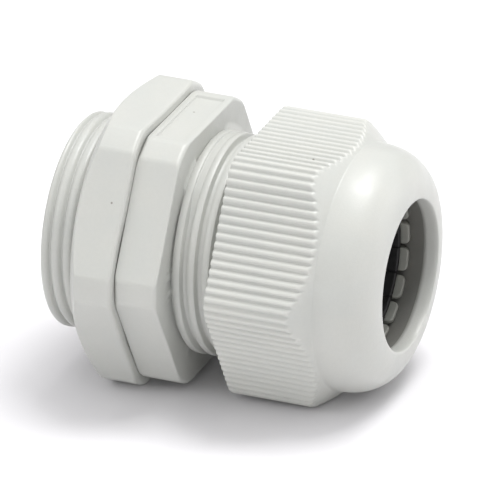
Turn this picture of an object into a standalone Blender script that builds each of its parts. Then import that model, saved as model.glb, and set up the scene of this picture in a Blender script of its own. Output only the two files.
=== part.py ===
"""Cable gland for a round cable, lying on its side: body, locknut, dome nut, clamping claw and seals.

The gland's axis lies along +X, with the cable's outlet in the dome at +X, and +Z is up. The origin is
under the middle of the gland's box, on the surface that the locknut's lowest flat rests on. Every piece is
modelled with its own axis along local Z, then the empty gland_axis turns that axis onto +X. Lengths along
the axis are counted from the body's seating face, which meets the panel.
"""
import math

import bmesh
import bpy
from mathutils import Matrix, Vector

MM = 0.001

# Lengths along the axis, from the seating face
ENTRY_END = -11.9 * MM
LOCKNUT_BACK, LOCKNUT_FRONT = -6.45 * MM, -0.3 * MM
FLANGE_FRONT = 5.6 * MM
MOUTH = 17.5 * MM
NUT_BACK, NUT_SHOULDER, DOME_FRONT = 11.9 * MM, 25.0 * MM, 32.3 * MM
LIP_BACK = 30.3 * MM
CLAW_ROOT, CLAW_TIP = 20.0 * MM, 28.2 * MM

# Hexagons: half the size across flats, and the radius that trims the corners
FLANGE_APOTHEM, FLANGE_CORNER = 16.5 * MM, 18.25 * MM
LOCKNUT_APOTHEM, LOCKNUT_CORNER = 17.6 * MM, 19.4 * MM
NUT_APOTHEM, NUT_CORNER_ROUNDING = 16.35 * MM, 4.0 * MM
NUT_RIBS, NUT_RIB_DEPTH = 96, 0.35 * MM

# Threads: pitch, and the radii of crest and root on the body. CLAMP_PHASE is how far past a whole pitch the
# clamp thread's crest passes angle 0.
ENTRY_PITCH, ENTRY_CREST, ENTRY_ROOT = 1.588 * MM, 13.85 * MM, 13.05 * MM
CLAMP_PITCH, CLAMP_CREST, CLAMP_ROOT = 1.95 * MM, 14.1 * MM, 13.1 * MM
THREAD_CLEARANCE = 0.25 * MM
CLAMP_PHASE = 1.14 * MM
NUT_THREAD = 9.2 * MM

# Cable passage
ENTRY_BORE, SEAL_BORE, OPENING = 10.3 * MM, 9.0 * MM, 9.65 * MM
POCKET_RADIUS, POCKET_FLOOR = 11.9 * MM, 13.5 * MM
LIP_RADIUS, CONE_SLOPE = 9.85 * MM, math.tan(math.radians(25))

# Claw. FIRST_FINGER is the first finger's angle, as a share of the angle between two fingers.
FINGERS, FINGER_GAP, FIRST_FINGER = 18, 0.5 * MM, 0.67
HINGE_RADIUS, HINGE_LENGTH = 12.0 * MM, 19.85 * MM

SEGMENTS = 36
SMOOTH_UNDER = math.radians(35)
OVERCUT = 1.0 * MM

NYLON, CLAW_NYLON, RUBBER = "grey_nylon", "claw_nylon", "black_rubber"
FINISHES = {
    NYLON: ((0.63, 0.64, 0.62, 1.0), 0.48),
    CLAW_NYLON: ((0.55, 0.56, 0.53, 1.0), 0.45),
    RUBBER: ((0.012, 0.012, 0.014, 1.0), 0.7),
}


def clear_scene():
    for obj in list(bpy.data.objects):
        bpy.data.objects.remove(obj, do_unlink=True)


def new_collection(name):
    collection = bpy.data.collections.new(name)
    bpy.context.scene.collection.children.link(collection)
    return collection


def new_material(name, finish):
    color, roughness = FINISHES[finish]
    material = bpy.data.materials.new(name)
    material.use_nodes = True
    shader = material.node_tree.nodes["Principled BSDF"]
    shader.inputs["Base Color"].default_value = color
    shader.inputs["Roughness"].default_value = roughness
    shader.inputs["Metallic"].default_value = 0.0
    return material


class Bench:
    """Where pieces and cutters are put, all of them held by the empty on the gland's axis."""

    def __init__(self):
        self.pieces = new_collection("cable_gland")
        self.cutters = new_collection("cutters")
        self.axis = bpy.data.objects.new("gland_axis", None)
        self.pieces.objects.link(self.axis)
        middle = (ENTRY_END + DOME_FRONT) / 2
        self.axis.location = (-middle, 0.0, LOCKNUT_APOTHEM)
        self.axis.rotation_euler = (0.0, math.radians(90), 0.0)

    def cutter(self, name, mesh):
        obj = bpy.data.objects.new(name, mesh)
        self.cutters.objects.link(obj)
        obj.parent = self.axis
        obj.hide_render = True
        obj.display_type = "WIRE"
        return obj

    def piece(self, name, mesh, finish):
        obj = bpy.data.objects.new(name, mesh)
        self.pieces.objects.link(obj)
        obj.parent = self.axis
        obj.data.materials.append(new_material(name, finish))
        return obj


def outline_mesh(name, outline):
    """A closed outline of (radius, length) points, running down its outer side and up its inner side."""
    mesh = bpy.data.meshes.new(name)
    points = [(radius, 0.0, length) for radius, length in outline]
    count = len(points)
    mesh.from_pydata(points, [(i, (i + 1) % count) for i in range(count)], [])
    return mesh


def spin(obj, segments=SEGMENTS):
    """Turn an outline about the gland's axis."""
    screw = obj.modifiers.new("Turned", "SCREW")
    screw.axis = "Z"
    screw.steps = screw.render_steps = segments
    screw.use_merge_vertices = True
    screw.merge_threshold = 0.000001
    return obj


def boolean(obj, operation, other):
    modifier = obj.modifiers.new(other.name, "BOOLEAN")
    modifier.operation = operation
    modifier.object = other


def evaluated_mesh(obj):
    bpy.context.view_layer.update()
    evaluated = obj.evaluated_get(bpy.context.evaluated_depsgraph_get())
    return bpy.data.meshes.new_from_object(evaluated)


def settle(obj):
    """Keep the result of the modifiers as the piece's mesh, smooth except over its real edges."""
    material = obj.data.materials[0]
    obj.data = evaluated_mesh(obj)
    obj.modifiers.clear()
    obj.data.materials.clear()
    obj.data.materials.append(material)
    obj.data.shade_smooth()
    obj.data.set_sharp_from_angle(angle=SMOOTH_UNDER)
    return obj


def hexagon_mesh(name, apothem, back, front):
    """A hexagonal prism with flats facing straight up and down."""
    bm = bmesh.new()
    place = Matrix.Translation((0.0, 0.0, (back + front) / 2))
    radius = apothem / math.cos(math.radians(30))
    bmesh.ops.create_cone(
        bm, cap_ends=True, segments=6, radius1=radius, radius2=radius, depth=front - back, matrix=place
    )
    mesh = bpy.data.meshes.new(name)
    bm.to_mesh(mesh)
    bm.free()
    return mesh


class Thread:
    """A right-handed ridge on a turned outline, between two lengths, with its foot and top half-widths.

    Its crest passes angle 0 at whole pitches from the seating face plus the phase, so a nut's thread made
    with the same pitch and phase always runs in step with the body's.
    """

    def __init__(self, pitch, phase, crest, root, foot, top, start, end):
        self.pitch, self.phase, self.crest, self.root = pitch, phase, crest, root
        self.foot, self.top = foot, top
        self.start, self.end = min(start, end), max(start, end)
        self.downwards = end < start
        self.first = math.floor((self.start - phase - foot) / pitch) - 1
        self.turns = math.ceil((self.end - phase + foot) / pitch) - self.first + 1

    def column(self, share):
        """The (radius, length) points at this share of a turn, four for each pass of the ridge."""
        points = []
        for turn in range(self.turns):
            middle = self.phase + self.pitch * (self.first + turn + share)
            offsets = (-self.foot, -self.top, self.top, self.foot)
            for radius, offset in zip((self.root, self.crest, self.crest, self.root), offsets):
                length = middle + offset
                if self.start < length < self.end:
                    points.append((radius, length))
                else:
                    points.append((self.root, max(self.start, min(self.end, length))))
        return points[::-1] if self.downwards else points


def threaded_mesh(name, outline):
    """A turned solid from a closed outline of (radius, length) points and threads, in the same order.

    A thread's points climb by one pitch over a turn, so where the turn closes, each face joins points that
    are one pass of the ridge apart.
    """
    bm = bmesh.new()
    rows, after_a_turn = [], []
    for item in outline:
        threaded = isinstance(item, Thread)
        columns = [item.column(i / SEGMENTS) if threaded else [item] for i in range(SEGMENTS)]
        first, last = len(rows), len(rows) + len(columns[0]) - 1
        shift = (-4 if item.downwards else 4) if threaded else 0
        for row in range(first, last + 1):
            rows.append([column[row - first] for column in columns])
            after_a_turn.append(row + shift if first <= row + shift <= last else row)
    vertices = []
    for row in rows:
        ring = []
        for i, (radius, length) in enumerate(row):
            angle = math.tau * i / SEGMENTS
            ring.append(bm.verts.new((radius * math.cos(angle), radius * math.sin(angle), length)))
        vertices.append(ring)
    count = len(rows)

    def corner(row, i):
        return vertices[row][i] if i < SEGMENTS else vertices[after_a_turn[row]][0]

    for row in range(count):
        after = (row + 1) % count
        for i in range(SEGMENTS):
            corners = [corner(row, i), corner(row, i + 1), corner(after, i + 1), corner(after, i)]
            if len(set(corners)) == 4:
                bm.faces.new(corners)
    bmesh.ops.remove_doubles(bm, verts=bm.verts, dist=0.0000005)
    bmesh.ops.dissolve_degenerate(bm, edges=bm.edges, dist=0.0000005)
    bmesh.ops.recalc_face_normals(bm, faces=bm.faces)
    mesh = bpy.data.meshes.new(name)
    bm.to_mesh(mesh)
    bm.free()
    return mesh


def outer_thread(pitch, phase, crest, root, start, end):
    """The ridge on the body."""
    return Thread(pitch, phase, crest, root, 0.33 * pitch, 0.12 * pitch, start, end)


def tap_thread(pitch, phase, crest, root, start, end):
    """What a nut's thread is cut with: the body's ridge, grown by the clearance all round."""
    foot, top = 0.33 * pitch + THREAD_CLEARANCE, 0.12 * pitch + THREAD_CLEARANCE
    return Thread(pitch, phase, crest + THREAD_CLEARANCE, root + THREAD_CLEARANCE, foot, top, start, end)


def tap(bench, name, pitch, phase, crest, root, start, end):
    middle = 0.5 * MM
    thread = tap_thread(pitch, phase, crest, root, end, start)
    outline = [(thread.root, end), thread, (thread.root, start), (middle, start), (middle, end)]
    return bench.cutter(name, threaded_mesh(name, outline))


def make_gland_body(bench):
    """One moulding: entry thread, hexagonal flange and clamp thread around the cable passage."""
    chamfer, lead_in = 0.4 * MM, 0.5 * MM
    clamp = outer_thread(
        CLAMP_PITCH, CLAMP_PHASE, CLAMP_CREST, CLAMP_ROOT, MOUTH - lead_in, FLANGE_FRONT - 0.7 * MM
    )
    entry = outer_thread(ENTRY_PITCH, 0.0, ENTRY_CREST, ENTRY_ROOT, 0.3 * MM, ENTRY_END + chamfer)
    outline = [
        (CLAMP_ROOT - lead_in, MOUTH),
        (CLAMP_ROOT, MOUTH - lead_in),
        clamp,
        (CLAMP_ROOT, FLANGE_FRONT - 0.7 * MM),
        (ENTRY_ROOT, 0.3 * MM),
        entry,
        (ENTRY_ROOT, ENTRY_END + chamfer),
        (ENTRY_ROOT - chamfer, ENTRY_END),
        (ENTRY_BORE + chamfer, ENTRY_END),
        (ENTRY_BORE, ENTRY_END + chamfer),
        (ENTRY_BORE, POCKET_FLOOR),
        (POCKET_RADIUS, POCKET_FLOOR),
        (POCKET_RADIUS, MOUTH),
    ]
    body = bench.piece("gland_body", threaded_mesh("gland_body", outline), NYLON)
    flange = bench.cutter("flange", hexagon_mesh("flange", FLANGE_APOTHEM, 0.0, FLANGE_FRONT))
    boolean(flange, "INTERSECT", flange_envelope(bench))
    boolean(flange, "DIFFERENCE", flange_bore(bench))
    boolean(flange, "DIFFERENCE", label_recess(bench))
    boolean(body, "UNION", flange)
    return settle(body)


def flange_envelope(bench):
    """Trims the flange's corners, with a slight bevel at each face."""
    bevel, reach = 0.35 * MM, 0.4 * MM
    outline = [
        (FLANGE_CORNER - reach, FLANGE_FRONT),
        (FLANGE_CORNER, FLANGE_FRONT - bevel),
        (FLANGE_CORNER, bevel),
        (FLANGE_CORNER - reach, 0.0),
        (FLANGE_CORNER - 3 * reach, -OVERCUT),
        (0.5 * MM, -OVERCUT),
        (0.5 * MM, FLANGE_FRONT + OVERCUT),
        (FLANGE_CORNER - 3 * reach, FLANGE_FRONT + OVERCUT),
    ]
    return spin(bench.cutter("flange_envelope", outline_mesh("flange_envelope", outline)))


def flange_bore(bench):
    """Opens the flange for the body's core, and for the seal ring's groove around the entry thread."""
    core, groove, depth = 12.0 * MM, 15.7 * MM, 1.5 * MM
    outline = [
        (core, FLANGE_FRONT + OVERCUT),
        (core, depth),
        (groove, depth),
        (groove, -OVERCUT),
        (0.4 * MM, -OVERCUT),
        (0.4 * MM, FLANGE_FRONT + OVERCUT),
    ]
    return spin(bench.cutter("flange_bore", outline_mesh("flange_bore", outline)))


def label_recess(bench):
    """A shallow blank panel in the flange's upper flat."""
    depth, along, across = 0.3 * MM, 3.9 * MM, 13.2 * MM
    bm = bmesh.new()
    place = Matrix.Translation((-FLANGE_APOTHEM, 0.0, FLANGE_FRONT / 2))
    bmesh.ops.create_cube(bm, size=1.0, matrix=place @ Matrix.Diagonal((2 * depth, across, along, 1.0)))
    mesh = bpy.data.meshes.new("label_recess")
    bm.to_mesh(mesh)
    bm.free()
    return bench.cutter("label_recess", mesh)


def make_locknut(bench):
    """Hexagonal locknut with a broad chamfer on its free face and a slight one towards the panel."""
    nut = bench.piece(
        "entry_locknut", hexagon_mesh("entry_locknut", LOCKNUT_APOTHEM, LOCKNUT_BACK, LOCKNUT_FRONT), NYLON
    )
    mouth, inner = ENTRY_CREST + 0.6 * MM, ENTRY_ROOT - 0.2 * MM
    outline = [
        (LOCKNUT_CORNER - 0.2 * MM, LOCKNUT_FRONT),
        (LOCKNUT_CORNER, LOCKNUT_FRONT - 0.2 * MM),
        (LOCKNUT_CORNER, LOCKNUT_BACK + 1.5 * MM),
        (17.0 * MM, LOCKNUT_BACK),
        (mouth, LOCKNUT_BACK),
        (inner, LOCKNUT_BACK + (mouth - inner)),
        (inner, LOCKNUT_FRONT - (mouth - inner)),
        (mouth, LOCKNUT_FRONT),
    ]
    boolean(nut, "INTERSECT", spin(bench.cutter("locknut_ring", outline_mesh("locknut_ring", outline))))
    beyond = 3 * MM
    start, end = LOCKNUT_BACK - beyond, LOCKNUT_FRONT + beyond
    cutter = tap(bench, "locknut_tap", ENTRY_PITCH, 0.0, ENTRY_CREST, ENTRY_ROOT, start, end)
    boolean(nut, "DIFFERENCE", cutter)
    return settle(nut)


def ribbed_outline():
    """Rounded hexagon with a crest and a valley for each grip rib, evenly spaced around it."""
    core = NUT_APOTHEM - NUT_CORNER_ROUNDING
    straight = 2 * core * math.tan(math.radians(30))
    side = straight + NUT_CORNER_ROUNDING * math.radians(60)
    points = []
    for i in range(2 * NUT_RIBS):
        flat, along = divmod((i + 0.5) * 6 * side / (2 * NUT_RIBS), side)
        along -= side / 2
        on_flat = max(-straight / 2, min(straight / 2, along))
        lean = (along - on_flat) / NUT_CORNER_ROUNDING
        reach = NUT_CORNER_ROUNDING - NUT_RIB_DEPTH * (i % 2)
        point = Vector((core + reach * math.cos(lean), on_flat + reach * math.sin(lean), 0.0))
        points.append(Matrix.Rotation(math.radians(60) * flat, 3, "Z") @ point)
    return points


def ribbed_prism(name, back, front):
    bm = bmesh.new()
    face = bm.faces.new([bm.verts.new((point.x, point.y, back)) for point in ribbed_outline()])
    grown = bmesh.ops.extrude_face_region(bm, geom=[face], use_keep_orig=True)
    top = [item for item in grown["geom"] if isinstance(item, bmesh.types.BMVert)]
    bmesh.ops.translate(bm, verts=top, vec=(0.0, 0.0, front - back))
    bmesh.ops.recalc_face_normals(bm, faces=bm.faces)
    mesh = bpy.data.meshes.new(name)
    bm.to_mesh(mesh)
    bm.free()
    return mesh


def dome_outline():
    """The nut's outer form: plain grip section, 45 degree shoulder chamfer, then a dome to its lip.

    The dome's section is a quarter of a superellipse, a little fuller than a plain ellipse.
    """
    grip, shoulder, fullness = 18.8 * MM, 15.95 * MM, 2.4
    dome_length, dome_height, steps = DOME_FRONT - NUT_SHOULDER, shoulder - OPENING, 9
    dome = []
    for i in range(steps + 1):
        angle = math.radians(90) * i / steps
        radius = OPENING + dome_height * math.sin(angle) ** (2 / fullness)
        dome.append((radius, NUT_SHOULDER + dome_length * math.cos(angle) ** (2 / fullness)))
    outer = dome + [(grip, NUT_SHOULDER - (grip - shoulder)), (grip, NUT_BACK - OVERCUT)]
    return outer + [(0.5 * MM, NUT_BACK - OVERCUT), (0.5 * MM, DOME_FRONT)]


def nut_cavity_outline():
    """The nut's inside: lip, cone that closes the claw, plain bore, and the thread's countersunk mouth."""
    plain, mouth = 13.25 * MM, CLAMP_CREST + 0.7 * MM
    cone_start = LIP_BACK - (plain - LIP_RADIUS) / CONE_SLOPE
    return [
        (OPENING, DOME_FRONT + OVERCUT),
        (OPENING, DOME_FRONT - 0.1 * MM),
        (LIP_RADIUS, LIP_BACK),
        (plain, cone_start),
        (plain, NUT_BACK + (mouth - plain)),
        (mouth + OVERCUT, NUT_BACK - OVERCUT),
        (0.4 * MM, NUT_BACK - OVERCUT),
        (0.4 * MM, DOME_FRONT + OVERCUT),
    ]


def make_dome_nut(bench):
    nut = bench.piece("dome_nut", ribbed_prism("dome_nut", NUT_BACK, DOME_FRONT + OVERCUT), NYLON)
    boolean(nut, "INTERSECT", spin(bench.cutter("nut_outside", outline_mesh("nut_outside", dome_outline()))))
    cavity = spin(bench.cutter("nut_inside", outline_mesh("nut_inside", nut_cavity_outline())))
    boolean(nut, "DIFFERENCE", cavity)
    start, end = NUT_BACK - 3 * MM, NUT_BACK + NUT_THREAD
    cutter = tap(bench, "nut_tap", CLAMP_PITCH, CLAMP_PHASE, CLAMP_CREST, CLAMP_ROOT, start, end)
    boolean(nut, "DIFFERENCE", cutter)
    return settle(nut)


def make_claw_ring(bench):
    """The claw's base: a spigot in the body's pocket, and a flange that bears on the body's mouth."""
    inner, spigot, flange, gap = 10.7 * MM, 11.6 * MM, 12.85 * MM, 0.3 * MM
    front = CLAW_ROOT - gap
    outline = [
        (flange, front),
        (flange, MOUTH + gap),
        (spigot, MOUTH + gap),
        (spigot, POCKET_FLOOR + 1.7 * MM),
        (inner, POCKET_FLOOR + 1.7 * MM),
        (inner, front),
    ]
    return settle(spin(bench.piece("claw_ring", outline_mesh("claw_ring", outline), CLAW_NYLON)))


def finger_mesh():
    """One claw finger at angle 0: its lengthwise section, swept across the finger's share of the circle.

    Its back is hollowed towards the hinge, so the nut's cone presses near the tip as the finger leans in.
    """
    section = [
        (12.7 * MM, CLAW_ROOT),
        (12.45 * MM, 22.0 * MM),
        (11.85 * MM, 24.0 * MM),
        (11.1 * MM, 27.0 * MM),
        (10.5 * MM, CLAW_TIP),
        (9.95 * MM, CLAW_TIP),
        (9.95 * MM, 27.4 * MM),
        (10.6 * MM, 24.0 * MM),
        (11.2 * MM, CLAW_ROOT),
    ]
    share = math.tau / FINGERS - FINGER_GAP / (10.2 * MM)
    bm = bmesh.new()
    start = Matrix.Rotation(-share / 2, 3, "Z")
    face = bm.faces.new([bm.verts.new(start @ Vector((radius, 0.0, length))) for radius, length in section])
    bmesh.ops.spin(
        bm, geom=[face, *face.edges, *face.verts], cent=(0, 0, 0), axis=(0, 0, 1), angle=share, steps=3
    )
    bmesh.ops.recalc_face_normals(bm, faces=bm.faces)
    bmesh.ops.translate(bm, verts=bm.verts, vec=(-HINGE_RADIUS, 0.0, -HINGE_LENGTH))
    mesh = bpy.data.meshes.new("claw_finger")
    bm.to_mesh(mesh)
    bm.free()
    return mesh


def make_claw_fingers(bench):
    """Each finger's origin is on its living hinge, where it bends from the claw's ring."""
    mesh = finger_mesh()
    fingers = []
    for i in range(FINGERS):
        angle = math.tau * (i + FIRST_FINGER) / FINGERS
        finger = bench.piece(f"claw_finger_{i + 1:02d}", mesh.copy(), CLAW_NYLON)
        finger.location = (HINGE_RADIUS * math.cos(angle), HINGE_RADIUS * math.sin(angle), HINGE_LENGTH)
        finger.rotation_euler = (0.0, 0.0, angle)
        fingers.append(settle(finger))
    return fingers


def make_cable_seal(bench):
    """Rubber sleeve that the fingers press onto the cable, with its foot in the body's pocket."""
    foot, sleeve, front, gap, tip = 11.55 * MM, 10.35 * MM, 9.65 * MM, 0.3 * MM, 27.25 * MM
    outline = [
        (front, tip),
        (sleeve, 21.0 * MM),
        (sleeve, POCKET_FLOOR + gap + 1.1 * MM),
        (foot, POCKET_FLOOR + gap + 1.1 * MM),
        (foot, POCKET_FLOOR + gap),
        (SEAL_BORE, POCKET_FLOOR + gap),
        (SEAL_BORE, tip),
    ]
    return settle(spin(bench.piece("cable_seal", outline_mesh("cable_seal", outline), RUBBER)))


def make_panel_seal_ring(bench):
    """Round rubber ring around the entry thread, in the groove of the flange's seating face."""
    radius, thickness, sides = 14.78 * MM, 0.6 * MM, 8
    outline = []
    for i in range(sides):
        angle = math.radians(90) - math.tau * i / sides
        outline.append((radius + thickness * math.cos(angle), 0.62 * MM + thickness * math.sin(angle)))
    return settle(spin(bench.piece("panel_seal_ring", outline_mesh("panel_seal_ring", outline), RUBBER)))


def main():
    clear_scene()
    bench = Bench()
    make_gland_body(bench)
    make_locknut(bench)
    make_dome_nut(bench)
    make_claw_ring(bench)
    make_claw_fingers(bench)
    make_cable_seal(bench)
    make_panel_seal_ring(bench)
    bpy.context.view_layer.update()


main()
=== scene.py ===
"""The looks of a plastic cable gland lying on a white table.

Every piece is modelled in gland coordinates, then placed in the row frame: a radius from the gland's axis, an
angle round it from straight down, and a length along it from the body's seating face, which meets the panel.
"""
import math

import bmesh
import bpy
import numpy as np
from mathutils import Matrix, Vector


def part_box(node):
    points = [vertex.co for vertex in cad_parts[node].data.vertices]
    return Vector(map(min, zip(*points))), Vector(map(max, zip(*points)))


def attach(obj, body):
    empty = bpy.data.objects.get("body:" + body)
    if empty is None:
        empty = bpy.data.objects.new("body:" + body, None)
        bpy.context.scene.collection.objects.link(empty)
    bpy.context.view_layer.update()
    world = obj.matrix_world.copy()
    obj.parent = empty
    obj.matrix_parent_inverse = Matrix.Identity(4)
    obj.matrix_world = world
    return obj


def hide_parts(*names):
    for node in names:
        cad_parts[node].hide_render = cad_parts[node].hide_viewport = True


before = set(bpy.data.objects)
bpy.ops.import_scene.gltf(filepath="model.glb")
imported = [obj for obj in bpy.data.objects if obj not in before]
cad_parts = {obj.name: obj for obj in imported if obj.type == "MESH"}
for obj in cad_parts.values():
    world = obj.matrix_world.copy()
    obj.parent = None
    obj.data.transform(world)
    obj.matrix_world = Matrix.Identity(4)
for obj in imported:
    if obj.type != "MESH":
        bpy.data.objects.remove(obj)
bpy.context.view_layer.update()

MM = 0.001

# The frame's pieces give the axis, the seating face and the main sizes
SEAT_GAP = 0.3 * MM
BODY_LOW, BODY_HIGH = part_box("gland_body")
LOCKNUT_LOW, LOCKNUT_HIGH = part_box("entry_locknut")
NUT_LOW, NUT_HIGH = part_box("dome_nut")
FINGER_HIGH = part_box("claw_finger_01")[1]
SEAL_LOW, SEAL_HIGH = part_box("cable_seal")
AXIS_Z = (LOCKNUT_LOW.z + LOCKNUT_HIGH.z) / 2
SEAT_X = LOCKNUT_HIGH.x + SEAT_GAP

ENTRY_END, MOUTH = BODY_LOW.x - SEAT_X, BODY_HIGH.x - SEAT_X
LOCKNUT_BACK, LOCKNUT_FRONT = LOCKNUT_LOW.x - SEAT_X, -0.03 * MM
NUT_BACK, DOME_FRONT = NUT_LOW.x - SEAT_X, NUT_HIGH.x - SEAT_X
CLAW_TIP = FINGER_HIGH.x - SEAT_X
SEAL_BACK, SEAL_FRONT = SEAL_LOW.x - SEAT_X, SEAL_HIGH.x - SEAT_X

# Half the sizes across flats, and the radii that trim the corners
FLANGE_APOTHEM, FLANGE_CORNER, FLANGE_FRONT = (BODY_HIGH.z - BODY_LOW.z) / 2, 18.25 * MM, 5.6 * MM
LOCKNUT_APOTHEM, LOCKNUT_CORNER = (LOCKNUT_HIGH.z - LOCKNUT_LOW.z) / 2, (LOCKNUT_HIGH.y - LOCKNUT_LOW.y) / 2
NUT_APOTHEM, NUT_CORNER_ROUNDING = (NUT_HIGH.z - NUT_LOW.z) / 2, 4.0 * MM
NUT_RIBS, RIB_DEPTH, COLUMNS_PER_RIB = 96, 0.34 * MM, 8

# Threads: pitch, how far past a whole pitch the crest passes angle 0, and the body's radii of crest and root
ENTRY_PITCH, ENTRY_PHASE, ENTRY_CREST, ENTRY_ROOT = 1.588 * MM, 0.0, 13.75 * MM, 13.2 * MM
CLAMP_PITCH, CLAMP_PHASE, CLAMP_CREST, CLAMP_ROOT = 1.95 * MM, 1.2 * MM, 14.1 * MM, 13.35 * MM
THREAD_CLEARANCE, NUT_THREAD = 0.25 * MM, 9.2 * MM

# The blank panel sunk in the flange's upper flat, with angles in degrees, and the groove for the seal ring
PANEL_HALF_WIDTH, PANEL_LENGTH, PANEL_DEPTH, PANEL_WALL = 6.6 * MM, 3.9 * MM, 0.3 * MM, 0.11 * MM
PANEL_SIDE = math.degrees(math.atan(PANEL_HALF_WIDTH / FLANGE_APOTHEM))
PANEL_WALL_ANGLE = math.degrees(PANEL_WALL / FLANGE_APOTHEM)
GROOVE_RADIUS, GROOVE_DEPTH = 15.7 * MM, 1.5 * MM

# Cable passage and dome. On the nut's 45 degree shoulder, radius and length add up to SHOULDER_SUM.
ENTRY_BORE, SEAL_BORE, OPENING, LIP_RADIUS = 10.3 * MM, 9.0 * MM, 9.5 * MM, 9.75 * MM
POCKET_RADIUS, POCKET_FLOOR = 11.9 * MM, 13.5 * MM
LIP_BACK, NUT_SHOULDER, SHOULDER_RADIUS, FULLNESS = 30.3 * MM, 25.0 * MM, 15.75 * MM, 2.4
SHOULDER_SUM, NUT_BORE, NUT_THREAD_END = 41.1 * MM, 13.25 * MM, NUT_BACK + NUT_THREAD
RIM_WIDTH, RIM_DEPTH = 0.25 * MM, 1.7 * MM
CONE_SLOPE = math.tan(math.radians(25))
CLAW_ROOT, FINGERS, FIRST_FINGER = 20.0 * MM, 18, 0.67
SLEEVE_START, SLEEVE_MIDDLE, SLEEVE_RADIUS = 20.2 * MM, 9.7 * MM, 10.35 * MM

# Points closer than this are one point
WELD = 0.000002

# Colours: the nylon's cool and warm shades, a pale painted highlight for edges that catch the light, dust,
# and each other material's pair of shades
GREY, WARM_GREY = (0.478, 0.486, 0.462, 1.0), (0.492, 0.496, 0.468, 1.0)
# The claw's greys are darker than the nylon's as painted shade, for the shade deep inside the dome nut
SHADED_CLAW_GREY, WARM_SHADED_CLAW_GREY = (0.28, 0.29, 0.265, 1.0), (0.30, 0.30, 0.27, 1.0)
# The nut's inner cone gets darker greys as painted shade
CONE_SHADE_GREY, WARM_CONE_SHADE_GREY = (0.25, 0.25, 0.235, 1.0), (0.27, 0.265, 0.245, 1.0)
# The first is a pale colour painted on rounded edges as a highlight, where they catch the light; the second
# is dust
EDGE_HIGHLIGHT, DUST = (0.68, 0.675, 0.64, 1.0), (0.16, 0.14, 0.12, 1.0)
BLACK, BLOOM = (0.007, 0.007, 0.0075, 1.0), (0.015, 0.015, 0.016, 1.0)
TABLE_WHITE, TABLE_LIGHTER = (0.735, 0.726, 0.745, 1.0), (0.75, 0.741, 0.76, 1.0)


def soft_min(a, b, reach):
    """The smaller of two values, with the crease between them rounded off."""
    blend = np.maximum(reach - np.abs(a - b), 0.0) / reach
    return np.minimum(a, b) - blend**2 * reach / 4


def soft_max(a, b, reach):
    return -soft_min(-a, -b, reach)


def in_place(radius, angle, length):
    """Gland coordinates to the row frame."""
    return np.stack(
        [SEAT_X + length, radius * np.sin(angle), AXIS_Z - radius * np.cos(angle)], axis=-1
    )


# Thread forms: where the ridge's foot and its flat top end, counted from its middle in pitches, and how the
# even rise between them becomes the flank's curve
BROAD_CREST = (0.36, 0.20, lambda rise: rise**2 * (3 - 2 * rise))
BROAD_GROOVE = (0.46, 0.30, lambda rise: rise**2 * (3 - 2 * rise))
ROUND_CREST = (0.5, 0.0, lambda rise: 1 - (1 - rise) ** 2.6)


class Section:
    """A closed solid of rings round the axis. Each ring has one radius and one length for each angle.

    A thread's rings climb by one pitch over a turn, so where the turn closes they join the next pass's.
    """

    def __init__(self, angles):
        self.angles = angles
        self.rings, self.after_a_turn = [], []

    def ring(self, radius, length):
        shape = self.angles.shape
        self.rings.append((np.broadcast_to(radius, shape), np.broadcast_to(length, shape)))
        self.after_a_turn.append(len(self.rings) - 1)

    def outline(self, points):
        for radius, length in points:
            self.ring(radius, length)

    def thread(self, pitch, phase, crest, root, start, end, cut, form, downwards=False):
        """A right-handed ridge between root and crest, from start to end, shaped by cut(radius, length).

        start and end are lengths, or one length for each angle.
        """
        foot, top, curve = form
        flank = np.linspace(foot, top, 8)
        offsets = np.concatenate([[-0.5], -flank, [0.0], flank[::-1]])
        share = self.angles / math.tau + phase / pitch
        first, last = math.floor(np.min(start) / pitch) - 2, math.ceil(np.max(end) / pitch) + 1
        rings = []
        for turn in range(first, last):
            for offset in offsets:
                length = np.clip(pitch * (turn + share + offset), start, end)
                place = length / pitch - share
                rise = np.clip((foot - np.abs(place - np.round(place))) / (foot - top), 0.0, 1.0)
                rings.append((cut(root + (crest - root) * curve(rise), length), length))
        shift = len(offsets)
        if downwards:
            rings.reverse()
            shift = -shift
        begin = len(self.rings)
        for radius, length in rings:
            self.ring(radius, length)
        for row in range(begin, len(self.rings)):
            if begin <= row + shift < len(self.rings):
                self.after_a_turn[row] = row + shift

    def mesh(self, name):
        rows, columns = len(self.rings), len(self.angles)
        radius = np.array([ring[0] for ring in self.rings])
        length = np.array([ring[1] for ring in self.rings])
        points = in_place(radius, self.angles[None, :], length).reshape(-1, 3)
        row = np.arange(rows)
        own = row[:, None] * columns + np.arange(columns)[None, :]
        joined = np.array(self.after_a_turn)[:, None] * columns
        over = np.concatenate([own[:, 1:], joined], axis=1)
        quads = np.stack([own, over, np.roll(over, -1, axis=0), np.roll(own, -1, axis=0)], axis=-1)
        return finished_mesh(name, points, quads.reshape(-1, 4))


def finished_mesh(name, points, faces):
    """A mesh with its doubled points joined, its empty faces gone and its faces pointing out."""
    mesh = bpy.data.meshes.new(name)
    mesh.from_pydata(points.tolist(), [], [list(face) for face in faces.tolist()])
    bm = bmesh.new()
    bm.from_mesh(mesh)
    bmesh.ops.remove_doubles(bm, verts=bm.verts, dist=WELD)
    bmesh.ops.dissolve_degenerate(bm, edges=bm.edges, dist=WELD)
    bmesh.ops.recalc_face_normals(bm, faces=bm.faces)
    bm.to_mesh(mesh)
    bm.free()
    return mesh


def new_piece(name, mesh, body, material, nodes=()):
    """A smooth shaded piece that rides on a body and stands for CAD nodes."""
    piece = bpy.data.objects.new(name, mesh)
    bpy.context.scene.collection.objects.link(piece)
    mesh.shade_smooth()
    mesh.set_sharp_from_angle(angle=math.radians(60))
    mesh.materials.append(material)
    flats = piece.modifiers.new("Flat faces stay flat", "WEIGHTED_NORMAL")
    flats.weight = 70
    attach(piece, body)
    if nodes:
        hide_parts(*nodes)
    return piece


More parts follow.
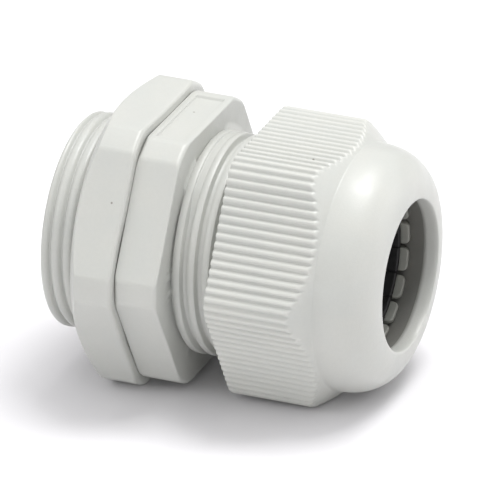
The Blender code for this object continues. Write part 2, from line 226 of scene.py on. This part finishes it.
def rounded(corners, steps=4):
    """An open outline of (radius, length) from corners given as (radius, length, rounding)."""
    points = []
    for i, (radius, length, rounding) in enumerate(corners):
        here = Vector((radius, length))
        if rounding == 0 or i in (0, len(corners) - 1):
            points.append(tuple(here))
            continue
        before, after = Vector(corners[i - 1][:2]) - here, Vector(corners[i + 1][:2]) - here
        half = before.angle(after) / 2
        reach = min(rounding / math.tan(half), before.length / 2, after.length / 2)
        start, end = here + before.normalized() * reach, here + after.normalized() * reach
        for step in range(steps + 1):
            t = step / steps
            points.append(tuple(start * (1 - t) ** 2 + here * 2 * t * (1 - t) + end * t * t))
    return points


# Hexagonal forms


def from_flat(angles):
    """Each angle's distance from the middle of the nearest flat."""
    return (angles + math.radians(30)) % math.radians(60) - math.radians(30)


def hexagonal_angles(apothem, corner, more=()):
    """Angles round the axis, close together where the flats meet the trimmed corners, and at more places."""
    edge, half = math.degrees(math.acos(apothem / corner)), 30.0
    side = np.concatenate(
        [
            np.linspace(0, edge - 1.3, 9),
            edge + np.linspace(-1.3, 1.3, 11)[1:],
            np.linspace(edge + 1.3, half, 4)[1:],
            np.array(more, float),
        ]
    )
    side = np.unique(np.round(side, 5))
    sixth = np.concatenate([-side[:0:-1], side[:-1]])
    turn = np.concatenate([sixth + 60 * flat for flat in range(6)]) % 360
    return np.radians(np.sort(turn))


def hexagon(angles, apothem, corner):
    """The radius of a hexagon whose corners are trimmed by a circle."""
    return soft_min(apothem / np.cos(from_flat(angles)), corner, 0.16 * MM)


def prism_rings(section, radius, back, front, back_trim, front_trim, roundings, lift=None, rows=()):
    """Rings up the outside of a prism whose ends are trimmed by cones.

    Each cone is given by its radius at the end's face and by how fast its radius grows from there. The
    roundings are those of the two faces' rims. lift changes the finished surface at the given rows.
    """

    def surface(length):
        from_back = back_trim[0] + (length - back) * back_trim[1]
        from_front = front_trim[0] + (front - length) * front_trim[1]
        trimmed = soft_min(soft_min(radius, from_back, roundings[0]), from_front, roundings[1])
        return trimmed if lift is None else trimmed + lift(length)

    def edge(rounding, steps=4):
        for step in range(steps + 1):
            turn = math.radians(90) * step / steps
            yield rounding * (1 - math.cos(turn)), rounding * (1 - math.sin(turn))

    soft = 0.15 * MM
    meets_back = back + np.maximum((radius - back_trim[0]) / back_trim[1], roundings[0] + 2 * soft)
    meets_front = front - np.maximum((radius - front_trim[0]) / front_trim[1], roundings[1] + 2 * soft)
    for depth, inset in edge(roundings[0]):
        section.ring(surface(back + depth) - inset, back + depth)
    for offset in (-1.0, -0.5, 0.0, 0.5, 1.0):
        length = meets_back + offset * soft
        section.ring(surface(length), length)
    for length in rows:
        section.ring(surface(length), length)
    for offset in (-1.0, -0.5, 0.0, 0.5, 1.0):
        length = meets_front + offset * soft
        section.ring(surface(length), length)
    for depth, inset in reversed(list(edge(roundings[1]))):
        section.ring(surface(front - depth) - inset, front - depth)


# Pieces


def body_entry(section):
    """The bore and the end face, the entry thread, and the seating face with its groove."""
    end_radius, thread_end = ENTRY_CREST - 0.25 * MM, 0.4 * MM
    section.outline(
        rounded(
            [
                (ENTRY_BORE, POCKET_FLOOR - 2 * MM, 0),
                (ENTRY_BORE, ENTRY_END + 0.5 * MM, 0.2 * MM),
                (ENTRY_BORE + 0.5 * MM, ENTRY_END, 0.1 * MM),
                (ENTRY_ROOT - 0.2 * MM, ENTRY_END, 0),
            ]
        )
    )

    def cut(radius, length):
        """Chamfers the thread's first turn, and ends it inside the groove."""
        from_end = end_radius + np.minimum(length - ENTRY_END, 2 * MM)
        to_root = ENTRY_ROOT + np.maximum(thread_end - length, 0.0)
        return np.minimum(soft_min(radius, from_end, 0.1 * MM), to_root)

    section.thread(
        ENTRY_PITCH, ENTRY_PHASE, ENTRY_CREST, ENTRY_ROOT, ENTRY_END, thread_end, cut, ROUND_CREST
    )
    section.outline(
        rounded(
            [
                (ENTRY_ROOT, thread_end, 0),
                (ENTRY_ROOT, GROOVE_DEPTH, 0.2 * MM),
                (GROOVE_RADIUS, GROOVE_DEPTH, 0.2 * MM),
                (GROOVE_RADIUS, 0, 0.1 * MM),
                (GROOVE_RADIUS + 0.3 * MM, 0, 0),
            ]
        )
    )


def body_flange(section):
    """The hexagonal flange, with a blank panel in its upper flat."""
    angles, middle = section.angles, FLANGE_FRONT / 2
    low, high = middle - PANEL_LENGTH / 2, middle + PANEL_LENGTH / 2

    def panel(length):
        """How far the blank panel sinks the upper flat."""
        off_middle = np.abs(angles - math.pi)
        sideways = np.clip((math.radians(PANEL_SIDE) - off_middle) / math.radians(PANEL_WALL_ANGLE), 0, 1)
        lengthways = np.clip((PANEL_LENGTH / 2 - np.abs(length - middle)) / PANEL_WALL, 0, 1)
        return -PANEL_DEPTH * np.minimum(sideways, lengthways) / np.cos(from_flat(angles))

    steps = np.array([-0.6, 0.0, 0.5, 1.0, 1.6]) * PANEL_WALL
    rows = np.concatenate([low + steps, [middle], (high - steps)[::-1]])
    outline = hexagon(angles, FLANGE_APOTHEM, FLANGE_CORNER)
    trim = (FLANGE_CORNER - 0.3 * MM, 0.3 / 0.35)
    prism_rings(section, outline, 0.0, FLANGE_FRONT, trim, trim, (0.1 * MM, 0.24 * MM), panel, rows)
    section.outline([(15.2 * MM, FLANGE_FRONT)])


def body_clamp_end(section):
    """The clamp thread, the mouth, and the pocket for the claw and the seal."""
    turns, degrees, thread_end = section.angles / math.tau, np.degrees(section.angles), MOUTH - 0.5 * MM
    third_crest = CLAMP_PITCH * (3 + turns) + CLAMP_PHASE
    over_top = np.clip(np.minimum(degrees - 60, 232 - degrees) / 14, 0.0, 1.0)

    def cut(radius, length):
        """Ends the thread at the mouth, and fills its grooves beside the flange, over the top."""
        neck = CLAMP_ROOT + 0.55 * MM * over_top * (length < third_crest)
        return np.minimum(np.maximum(radius, neck), CLAMP_ROOT + (thread_end - length))

    section.thread(
        CLAMP_PITCH, CLAMP_PHASE, CLAMP_CREST, CLAMP_ROOT, FLANGE_FRONT, thread_end, cut, BROAD_CREST
    )
    section.outline(
        rounded(
            [
                (CLAMP_ROOT, MOUTH - 0.45 * MM, 0),
                (CLAMP_ROOT - 0.4 * MM, MOUTH, 0.15 * MM),
                (POCKET_RADIUS, MOUTH, 0.15 * MM),
                (POCKET_RADIUS, POCKET_FLOOR, 0.15 * MM),
                (ENTRY_BORE, POCKET_FLOOR, 0.15 * MM),
                (ENTRY_BORE, POCKET_FLOOR - 1 * MM, 0),
            ]
        )
    )


def gland_body(material):
    """Entry thread, hexagonal flange and clamp thread, in one moulding."""
    side, wall = PANEL_SIDE, PANEL_WALL_ANGLE
    places = [side - wall, side - wall / 2, side, side + wall / 2, side - 2 * wall]
    section = Section(hexagonal_angles(FLANGE_APOTHEM, FLANGE_CORNER, places))
    body_entry(section)
    body_flange(section)
    body_clamp_end(section)
    mesh = section.mesh("moulded_body")
    return new_piece("moulded_body", mesh, "fixed_body", material, ["gland_body"])


def locknut(material):
    """Hexagonal locknut with a broad chamfer on its free face and a narrow one towards the panel.

    Its front face is slightly wavy, so it gapes at seven places and nearly meets the flange between them.
    """
    angles = hexagonal_angles(LOCKNUT_APOTHEM, LOCKNUT_CORNER)
    section = Section(angles)
    mouth, inner = ENTRY_CREST + 0.6 * MM, ENTRY_ROOT + THREAD_CLEARANCE
    section.outline([(mouth + 0.1 * MM, LOCKNUT_BACK), (15.6 * MM, LOCKNUT_BACK)])
    outline, roundings = hexagon(angles, LOCKNUT_APOTHEM, LOCKNUT_CORNER), (0.22 * MM, 0.4 * MM)
    waves = 0.5 + 0.5 * np.cos(7 * (angles - math.radians(254)))
    front = LOCKNUT_FRONT - 0.14 * MM * waves**2
    back_trim, front_trim = (17.0 * MM, 2.4 / 1.5), (LOCKNUT_CORNER - 0.2 * MM, 1.0)
    prism_rings(section, outline, LOCKNUT_BACK, front, back_trim, front_trim, roundings)
    section.ring(16.4 * MM, front)
    section.ring(mouth + 0.1 * MM, front)

    def cut(radius, length):
        """Chamfers the thread at both faces."""
        from_end = np.minimum(length - LOCKNUT_BACK, front - length)
        return np.maximum(radius, mouth - from_end)

    section.thread(
        ENTRY_PITCH, ENTRY_PHASE, ENTRY_CREST + THREAD_CLEARANCE, inner,
        LOCKNUT_BACK, front, cut, BROAD_GROOVE, downwards=True
    )
    mesh = section.mesh("moulded_locknut")
    return new_piece("moulded_locknut", mesh, "locknut", material, ["entry_locknut"])


def ribbed_outline():
    """Angles and radii of a rounded hexagon with grip ribs evenly spaced around it."""
    core = NUT_APOTHEM - NUT_CORNER_ROUNDING
    straight = 2 * core * math.tan(math.radians(30))
    side = straight + NUT_CORNER_ROUNDING * math.radians(60)
    count = NUT_RIBS * COLUMNS_PER_RIB
    place = (np.arange(count) + 0.5) * 6 * side / count
    flat = np.floor(place / side)
    along = place - flat * side - side / 2
    on_flat = np.clip(along, -straight / 2, straight / 2)
    lean = (along - on_flat) / NUT_CORNER_ROUNDING
    x = core + NUT_CORNER_ROUNDING * np.cos(lean)
    y = on_flat + NUT_CORNER_ROUNDING * np.sin(lean)
    local = np.arctan2(y, x)
    phase = ((np.arange(count) + 0.5) / COLUMNS_PER_RIB + 0.5) % 1.0
    valley = np.sin(math.pi * phase) ** 2
    radius = np.hypot(x, y) - RIB_DEPTH * (1 - valley) ** 1.6 / np.cos(local - lean)
    angle = (local + math.radians(60) * flat) % math.tau
    order = np.argsort(angle)
    return angle[order], radius[order]


def nut_grip(section, ribs):
    """The ribbed hexagon from its rounded back edge to the 45 degree shoulder, and the dome's foot."""
    edge = 0.3 * MM
    for step in range(5):
        turn = math.radians(90) * step / 4
        section.ring(ribs - edge * (1 - math.sin(turn)), NUT_BACK + edge * (1 - math.cos(turn)))

    def surface(length):
        share = np.clip((length - NUT_SHOULDER) / (DOME_FRONT - NUT_SHOULDER), 0, 1)
        dome = OPENING + (SHOULDER_RADIUS - OPENING) * (1 - share**FULLNESS) ** (1 / FULLNESS)
        clear_of_ribs = np.clip((length - NUT_SHOULDER - 0.15 * MM) / (0.15 * MM), 0, 1) * 4 * MM
        return soft_min(ribs + clear_of_ribs, soft_max(SHOULDER_SUM - length, dome, 0.12 * MM), 0.3 * MM)

    ribs_end = SHOULDER_SUM - ribs
    low, high = NUT_BACK + 2 * edge, NUT_SHOULDER + 0.15 * MM
    for offset in (-0.5, -0.3, -0.15, 0.0, 0.15, 0.3):
        length = np.clip(ribs_end + offset * MM, low, high - 0.05 * MM * (1 - offset))
        section.ring(surface(length), length)
    last = length
    for share in (0.33, 0.67, 1.0):
        length = last + (high - last) * share
        section.ring(surface(length), length)
    for offset in (0.2, 0.25, 0.3, 0.35, 0.4, 0.47, 0.55):
        section.ring(surface(NUT_SHOULDER + offset * MM), NUT_SHOULDER + offset * MM)


def nut_dome(section):
    """The dome, and the rounded rim of its opening."""
    steps, reach = 30, DOME_FRONT - NUT_SHOULDER
    for step in range(1, steps):
        turn = math.radians(90) * step / steps
        radius = OPENING + (SHOULDER_RADIUS - OPENING) * math.cos(turn) ** (2 / FULLNESS)
        length = NUT_SHOULDER + reach * math.sin(turn) ** (2 / FULLNESS)
        if length > NUT_SHOULDER + 0.6 * MM and radius > OPENING + 1.1 * RIM_WIDTH:
            section.ring(radius, length)
    for step in range(9):
        turn = math.radians(90) * step / 8
        radius = OPENING + RIM_WIDTH * (1 - math.sin(turn))
        section.ring(radius, DOME_FRONT - RIM_DEPTH * (1 - math.cos(turn)))


def nut_inside(section, mouth):
    """The lip, the cone that bears on the claw, the bore and the thread."""
    minor, cone_start = CLAMP_ROOT + THREAD_CLEARANCE, LIP_BACK - (NUT_BORE - LIP_RADIUS) / CONE_SLOPE
    section.outline(
        rounded(
            [
                (OPENING, DOME_FRONT - RIM_DEPTH, 0),
                (LIP_RADIUS, LIP_BACK, 0.1 * MM),
                (NUT_BORE, cone_start, 0.3 * MM),
                (NUT_BORE, NUT_THREAD_END + 0.4 * MM, 0.05 * MM),
                (NUT_BORE, NUT_THREAD_END + 0.2 * MM, 0),
            ]
        )
    )

    def cut(radius, length):
        """Ends the thread at the bore, and chamfers it at the nut's back."""
        return np.maximum(np.minimum(radius, minor + (NUT_THREAD_END - length)), mouth - (length - NUT_BACK))

    section.thread(
        CLAMP_PITCH, CLAMP_PHASE, CLAMP_CREST + THREAD_CLEARANCE, minor,
        NUT_BACK, NUT_THREAD_END, cut, BROAD_GROOVE, downwards=True
    )


def dome_nut(material, shaded_cone_material, ribs_material):
    """Ribbed hexagon, 45 degree shoulder, and the dome with its cable opening. The cone behind the lip, which
    bears on the claw, has a material of its own whose darker grey is painted shade, and the ribs have one
    with painted edge highlights."""
    angles, ribs = ribbed_outline()
    section = Section(angles)
    mouth = CLAMP_CREST + 0.7 * MM
    section.outline([(mouth + 0.1 * MM, NUT_BACK), (15.3 * MM, NUT_BACK)])
    nut_grip(section, ribs)
    nut_dome(section)
    nut_inside(section, mouth)
    mesh = section.mesh("moulded_dome_nut")
    piece = new_piece("moulded_dome_nut", mesh, "nut", material, ["dome_nut"])
    mesh.materials.append(shaded_cone_material)
    mesh.materials.append(ribs_material)
    # The cone's faces get the darker painted-shade material, and the ribs' faces the one with painted edge
    # highlights
    for face in mesh.polygons:
        length, radius = face.center.x - SEAT_X, math.hypot(face.center.y, face.center.z - AXIS_Z)
        if NUT_THREAD_END < length < LIP_BACK and radius < NUT_BORE + 0.1 * MM:
            face.material_index = 1
        elif length < NUT_SHOULDER and radius > 15.4 * MM:
            face.material_index = 2
    return piece


def even_angles(count):
    return math.tau * np.arange(count) / count


def claw_ring(material):
    """The claw's base ring: a spigot in the body's pocket, and a flange that bears on the body's mouth."""
    inner, spigot, flange, gap, soft = 10.7 * MM, 11.6 * MM, 12.85 * MM, 0.3 * MM, 0.15 * MM
    front, step, back = CLAW_ROOT - gap, MOUTH + gap, POCKET_FLOOR + 1.7 * MM
    section = Section(even_angles(180))
    section.outline(
        rounded(
            [
                ((inner + flange) / 2, front, 0),
                (flange, front, soft),
                (flange, step, soft),
                (spigot, step, soft),
                (spigot, back, soft),
                (inner, back, soft),
                (inner, front, soft),
                ((inner + flange) / 2, front, 0),
            ]
        )
    )
    mesh = section.mesh("claw_base")
    return new_piece("claw_base", mesh, "clamp_insert", material, ["claw_ring"])


def sector_mesh(name, middle, half_width, section_at, columns):
    """A closed solid across a sector. section_at gives its section's (radius, length) points at each place
    across, from 0 in the middle to 1 at either side."""
    rows = []
    for across in np.sin(np.linspace(-math.pi / 2, math.pi / 2, columns)):
        outline = np.array(section_at(abs(across)))
        angle = np.full(len(outline), middle + across * half_width)
        rows.append(in_place(outline[:, 0], angle, outline[:, 1]))
    count = len(rows[0])
    points = np.concatenate(rows)
    faces = []
    for row in range(columns - 1):
        for i in range(count):
            after = (i + 1) % count
            here, beyond = row * count, (row + 1) * count
            faces.append([here + i, here + after, beyond + after, beyond + i])
    mesh = bpy.data.meshes.new(name)
    last = (columns - 1) * count
    caps = [list(range(count))[::-1], [last + i for i in range(count)]]
    mesh.from_pydata(points.tolist(), [], faces + caps)
    bm = bmesh.new()
    bm.from_mesh(mesh)
    bmesh.ops.recalc_face_normals(bm, faces=bm.faces)
    bm.to_mesh(mesh)
    bm.free()
    return mesh


def side_rounding(across, start):
    """From 0 before start to 1 at the side of a sector, as a quarter circle rises."""
    share = max(0.0, (across - start) / (1 - start))
    return 1 - math.sqrt(1 - share**2)


def finger_section(across):
    """One finger's lengthwise section, shorter and thinner towards its sides."""
    tip = CLAW_TIP - 0.75 * MM * side_rounding(across, 0.55)
    thin = 0.12 * MM * side_rounding(across, 0.88)
    soft = 0.22 * MM
    outline = rounded(
        [
            (11.9 * MM, CLAW_ROOT, 0),
            (12.7 * MM - thin, CLAW_ROOT, 0.1 * MM),
            (12.45 * MM - thin, 22.0 * MM, 0.8 * MM),
            (11.85 * MM - thin, 24.0 * MM, 0.8 * MM),
            (11.1 * MM - thin, 27.0 * MM, 0.8 * MM),
            (10.5 * MM - thin, tip, soft),
            (9.95 * MM + thin, tip, soft),
            (9.95 * MM + thin, 27.2 * MM, 0.3 * MM),
            (10.6 * MM + thin, 24.0 * MM, 1.2 * MM),
            (11.2 * MM + thin, CLAW_ROOT, 0.1 * MM),
            (11.9 * MM, CLAW_ROOT, 0),
        ]
    )
    return outline[:-1]


def finger_angle(i):
    return math.tau * (i + FIRST_FINGER) / FINGERS


def claw_fingers(material):
    """Eighteen fingers with slots between them."""
    half_slot, middle_radius = 0.27 * MM, 10.2 * MM
    half_width = math.pi / FINGERS - half_slot / middle_radius
    for i in range(FINGERS):
        number = f"{i + 1:02d}"
        mesh = sector_mesh(f"finger_{number}", finger_angle(i), half_width, finger_section, 17)
        name, node = f"moulded_finger_{number}", f"claw_finger_{number}"
        new_piece(name, mesh, f"finger_{number}", material, [node])


def sleeve_section(_across):
    """The rubber sleeve's section under one finger, the same all the way across."""
    return rounded(
        [
            (SLEEVE_MIDDLE, SLEEVE_START, 0),
            (SLEEVE_RADIUS, SLEEVE_START, 0),
            (10.3 * MM, 21.5 * MM, 0.5 * MM),
            (9.7 * MM, SEAL_FRONT, 0.25 * MM),
            (SEAL_BORE, SEAL_FRONT, 0.25 * MM),
            (SEAL_BORE, SLEEVE_START, 0),
        ]
    )


def cable_seal(material):
    """The seal's foot and rear sleeve, and the sleeve's front as one strip of rubber under each finger, which
    goes inwards with it."""
    foot, foot_front, soft = 11.55 * MM, SEAL_BACK + 1.1 * MM, 0.2 * MM
    section = Section(even_angles(180))
    section.outline(
        rounded(
            [
                (SLEEVE_MIDDLE, SLEEVE_START, 0),
                (SLEEVE_RADIUS, SLEEVE_START, 0.05 * MM),
                (SLEEVE_RADIUS, foot_front, soft),
                (foot, foot_front, soft),
                (foot, SEAL_BACK, soft),
                (SEAL_BORE, SEAL_BACK, 2 * soft),
                (SEAL_BORE, SLEEVE_START, 0.05 * MM),
                (SLEEVE_MIDDLE, SLEEVE_START, 0),
            ]
        )
    )
    new_piece("seal_foot", section.mesh("seal_foot"), "clamp_insert", material, ["cable_seal"])
    for i in range(FINGERS):
        number = f"{i + 1:02d}"
        mesh = sector_mesh(f"sleeve_{number}", finger_angle(i), math.pi / FINGERS, sleeve_section, 7)
        new_piece(f"seal_sleeve_{number}", mesh, f"finger_{number}", material)


def panel_seal(material):
    """The round rubber ring in the seating face's groove."""
    low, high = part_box("panel_seal_ring")
    thickness = (high.x - low.x) / 2
    radius, middle = (high.z - low.z) / 2 - thickness, (high.x + low.x) / 2 - SEAT_X
    section = Section(even_angles(180))
    sides = 20
    for i in range(sides):
        angle = math.tau * i / sides
        section.ring(radius + thickness * math.cos(angle), middle + thickness * math.sin(angle))
    mesh = section.mesh("round_seal_ring")
    new_piece("round_seal_ring", mesh, "seal_ring", material, ["panel_seal_ring"])


# Materials


class Nodes:
    """Adds and links nodes in one material's tree."""

    def __init__(self, name):
        self.material = bpy.data.materials.new(name)
        self.material.use_nodes = True
        self.tree = self.material.node_tree
        self.shader = self.tree.nodes["Principled BSDF"]
        self.place = self.add("ShaderNodeTexCoord").outputs["Object"]

    def add(self, kind, **settings):
        node = self.tree.nodes.new(kind)
        for name, value in settings.items():
            setattr(node, name, value)
        return node

    def link(self, source, target):
        self.tree.links.new(source, target)

    def noise(self, scale, detail=2.0, roughness=0.5):
        """Noise whose features are about 1/scale metres wide."""
        node = self.add("ShaderNodeTexNoise")
        node.inputs["Scale"].default_value = scale
        node.inputs["Detail"].default_value = detail
        node.inputs["Roughness"].default_value = roughness
        self.link(self.place, node.inputs["Vector"])
        return node.outputs["Fac"]

    def spread(self, value, low, high, to_low, to_high):
        """The value with its range from low to high moved to a new range, and held at its ends."""
        node = self.add("ShaderNodeMapRange")
        for name, number in (("From Min", low), ("From Max", high), ("To Min", to_low), ("To Max", to_high)):
            node.inputs[name].default_value = number
        self.link(value, node.inputs["Value"])
        return node.outputs["Result"]

    def mixed(self, factor, first, second):
        """A colour mix. Each of first and second is a colour or another node's output."""
        node = self.add("ShaderNodeMix", data_type="RGBA")
        self.link(factor, node.inputs["Factor"])
        for socket, value in ((node.inputs[6], first), (node.inputs[7], second)):
            if isinstance(value, tuple):
                socket.default_value = value
            else:
                self.link(value, socket)
        return node.outputs[2]

    def bump(self, height, strength, distance, under=None):
        """A bumped normal, on top of another bump if one is given."""
        node = self.add("ShaderNodeBump")
        node.inputs["Strength"].default_value = strength
        node.inputs["Distance"].default_value = distance
        self.link(height, node.inputs["Height"])
        if under is not None:
            self.link(under, node.inputs["Normal"])
        return node.outputs["Normal"]


def dust(nodes):
    """A factor of 0.75 in small dots and 0 elsewhere. Each cell can hold a dot, and one in seven does."""
    cells = nodes.add("ShaderNodeTexVoronoi")
    cells.inputs["Scale"].default_value = 260
    nodes.link(nodes.place, cells.inputs["Vector"])
    dots = nodes.spread(cells.outputs["Distance"], 0.03, 0.045, 0.75, 0.0)
    split = nodes.add("ShaderNodeSeparateColor")
    nodes.link(cells.outputs["Color"], split.inputs["Color"])
    chosen = nodes.add("ShaderNodeMath", operation="GREATER_THAN")
    nodes.link(split.outputs["Red"], chosen.inputs[0])
    chosen.inputs[1].default_value = 0.86
    both = nodes.add("ShaderNodeMath", operation="MULTIPLY")
    nodes.link(dots, both.inputs[0])
    nodes.link(chosen.outputs[0], both.inputs[1])
    return both.outputs[0]


def moulded_nylon(name, color, warm, roughness, edge_highlight=0.0):
    """Satin moulded nylon: cloudy pigment, a fine spark-eroded grain, dust specks and edges paled as a
    painted highlight.
    """
    nodes = Nodes(name)
    shader = nodes.shader
    darker = tuple(0.8 * c for c in color[:3]) + (1.0,)
    clouds = nodes.spread(nodes.noise(180, 3.0), 0.35, 0.65, 0.0, 1.0)
    mottle = nodes.spread(nodes.noise(2600), 0.3, 0.7, 0.0, 0.10)
    base = nodes.mixed(mottle, nodes.mixed(clouds, color, warm), darker)
    sharpness = nodes.add("ShaderNodeNewGeometry").outputs["Pointiness"]
    # Sharply curved edges are paled by the last argument's amount: a painted highlight
    base = nodes.mixed(nodes.spread(sharpness, 0.512, 0.535, 0.0, edge_highlight), base, EDGE_HIGHLIGHT)
    nodes.link(nodes.mixed(dust(nodes), base, DUST), shader.inputs["Base Color"])
    sheen = nodes.spread(nodes.noise(420, 3.0), 0.3, 0.7, roughness - 0.06, roughness + 0.08)
    nodes.link(sheen, shader.inputs["Roughness"])
    grain = nodes.bump(nodes.noise(5200), 0.22, 0.00006)
    nodes.link(nodes.bump(nodes.noise(320), 0.35, 0.00009, grain), shader.inputs["Normal"])
    shader.inputs["IOR"].default_value = 1.53
    shader.inputs["Specular IOR Level"].default_value = 0.5
    shader.inputs["Subsurface Weight"].default_value = 0.12
    shader.inputs["Subsurface Radius"].default_value = (1.0, 0.95, 0.85)
    shader.inputs["Subsurface Scale"].default_value = 0.0006
    return nodes.material


def matt_rubber(name):
    """Black rubber with a dusty bloom and a fine grain."""
    nodes = Nodes(name)
    shader = nodes.shader
    bloom = nodes.spread(nodes.noise(700, 4.0, 0.6), 0.45, 0.75, 0.0, 1.0)
    nodes.link(nodes.mixed(bloom, BLACK, BLOOM), shader.inputs["Base Color"])
    nodes.link(nodes.spread(bloom, 0.0, 1.0, 0.55, 0.75), shader.inputs["Roughness"])
    nodes.link(nodes.bump(nodes.noise(3800, 3.0), 0.4, 0.00005), shader.inputs["Normal"])
    return nodes.material


def table_white(name):
    """A satin white surface that is very slightly uneven in tone."""
    nodes = Nodes(name)
    shader = nodes.shader
    nodes.link(nodes.mixed(nodes.noise(8), TABLE_WHITE, TABLE_LIGHTER), shader.inputs["Base Color"])
    shader.inputs["Roughness"].default_value = 0.6
    shader.inputs["Specular IOR Level"].default_value = 0.2
    return nodes.material


# Scene


def white_table():
    """A white surface under the locknut's lower flat and the dome nut's, so it is tilted by a few degrees."""
    front = LOCKNUT_HIGH.x
    rise = math.atan2(NUT_LOW.z, SEAT_X + NUT_SHOULDER - front)
    bpy.ops.mesh.primitive_plane_add(size=6.0, location=(front, 0.0, -0.02 * MM))
    table = bpy.context.object
    table.name = "table"
    table.rotation_euler = (0.0, -rise, 0.0)
    table.data.materials.append(table_white("white_table"))


def aim(obj, target):
    """Turns a light or a camera to face a point."""
    obj.rotation_mode = "QUATERNION"
    obj.rotation_quaternion = (Vector(target) - obj.location).to_track_quat("-Z", "Y")


def softbox(name, place, size, power):
    """A white rectangular light that faces the gland."""
    light = bpy.data.lights.new(name, "AREA")
    light.shape = "RECTANGLE"
    light.size, light.size_y = size
    light.energy = power
    obj = bpy.data.objects.new(name, light)
    bpy.context.scene.collection.objects.link(obj)
    obj.location = place
    aim(obj, (0.0, 0.0, 0.017))


def studio_light():
    """A white surround, brighter from above, and five softboxes: the main one overhead, and four to fill."""
    world = bpy.data.worlds.new("studio")
    bpy.context.scene.world = world
    world.use_nodes = True
    tree = world.node_tree
    direction = tree.nodes.new("ShaderNodeTexCoord")
    split = tree.nodes.new("ShaderNodeSeparateXYZ")
    strength = tree.nodes.new("ShaderNodeMapRange")
    strength.inputs["To Min"].default_value, strength.inputs["To Max"].default_value = 0.28, 1.25
    tree.links.new(direction.outputs["Generated"], split.inputs["Vector"])
    tree.links.new(split.outputs["Z"], strength.inputs["Value"])
    tree.links.new(strength.outputs["Result"], tree.nodes["Background"].inputs["Strength"])
    tree.nodes["Background"].inputs["Color"].default_value = (1.0, 1.0, 1.0, 1.0)
    softbox("overhead_softbox", (0.13, 0.16, 0.71), (0.36, 0.32), 3.9)
    softbox("front_left_softbox", (-0.48, -0.42, 0.36), (0.50, 0.50), 0.9)
    softbox("low_front_softbox", (0.06, -0.60, 0.06), (0.60, 0.10), 0.5)
    softbox("right_softbox", (0.55, 0.36, 0.22), (0.40, 0.40), 0.9)
    softbox("low_right_softbox", (0.50, -0.28, 0.05), (0.30, 0.12), 0.35)


def camera():
    """The gland seen from its front right, from above, through a long lens."""
    azimuth, elevation, distance = math.radians(22.19), math.radians(25.64), 1.0
    target = Vector((0.00055, 0.0, 0.01723))
    level = math.cos(elevation)
    back = Vector((math.sin(azimuth) * level, -math.cos(azimuth) * level, math.sin(elevation)))
    data = bpy.data.cameras.new("camera")
    data.lens, data.sensor_width = 576.0, 36.0
    data.clip_start, data.clip_end = 0.05, 20.0
    obj = bpy.data.objects.new("camera", data)
    bpy.context.scene.collection.objects.link(obj)
    obj.location = target + back * distance
    aim(obj, target)
    bpy.context.scene.camera = obj


def main():
    camera()
    studio_light()
    white_table()
    nylon = moulded_nylon("grey_nylon", GREY, WARM_GREY, 0.37)
    # The ribs' edges get a painted highlight, as if their rounded edges caught the light
    highlit_ribs_nylon = moulded_nylon("highlit_grey_nylon", GREY, WARM_GREY, 0.37, 0.22)
    # The cone inside the dome nut: darker greys as painted shade, and a matt finish
    shaded_cone_nylon = moulded_nylon("shaded_cone_nylon", CONE_SHADE_GREY, WARM_CONE_SHADE_GREY, 0.6)
    # The claw gets darker greys as painted shade, for its place deep inside the dome nut
    claw_nylon = moulded_nylon("claw_nylon", SHADED_CLAW_GREY, WARM_SHADED_CLAW_GREY, 0.42)
    rubber = matt_rubber("black_rubber")
    gland_body(nylon)
    locknut(nylon)
    dome_nut(nylon, shaded_cone_nylon, highlit_ribs_nylon)
    claw_ring(claw_nylon)
    claw_fingers(claw_nylon)
    cable_seal(rubber)
    panel_seal(rubber)
    bpy.context.scene.view_settings.view_transform = "Standard"


main()
